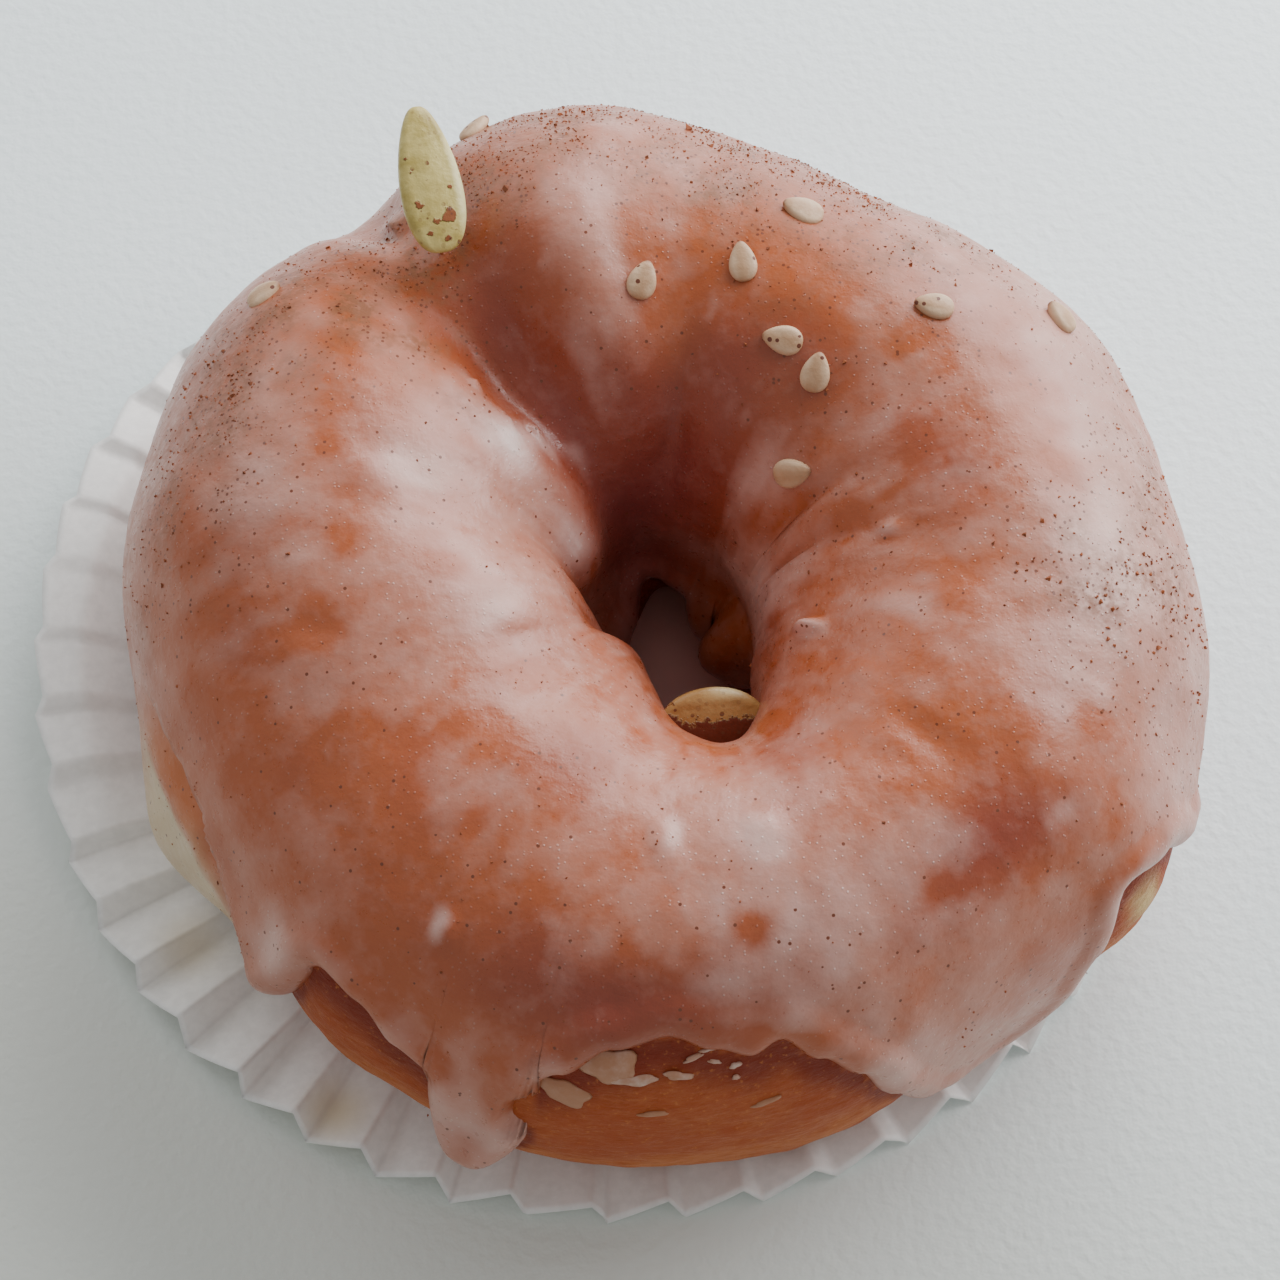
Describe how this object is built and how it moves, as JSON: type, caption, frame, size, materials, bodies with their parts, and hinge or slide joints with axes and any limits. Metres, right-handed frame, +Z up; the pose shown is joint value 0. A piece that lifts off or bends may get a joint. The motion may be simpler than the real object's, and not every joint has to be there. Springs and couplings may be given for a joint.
{
  "type": "glazed ring doughnut",
  "caption": "Ring doughnut with a thin dripping milk glaze, sesame seeds and pepitas, lying in a fluted paper case that is pressed flat.",
  "frame": {"origin": "on the axis of the doughnut's hole, at the underside of the paper case, where it rests", "axes": "+Z up through the hole, -Y towards the front that the picture shows, +X to the right"},
  "size_m": [0.1068, 0.106, 0.0437],
  "materials": {
    "dough": "fried yeast dough, matt, finely wrinkled",
    "glaze": "thin milky sugar glaze, half see-through, semi-gloss, dusted with cinnamon",
    "pepita": "hulled pumpkin seed, pale green, satin",
    "paper": "white greaseproof paper, matt, pleated"
  },
  "bodies": {
    "root": {"dough": "dough", "glaze": "glaze", "pepita_standing": "pepita", "pepita_hole": "pepita", "paper_case": "paper"}
  },
  "joints": []
}
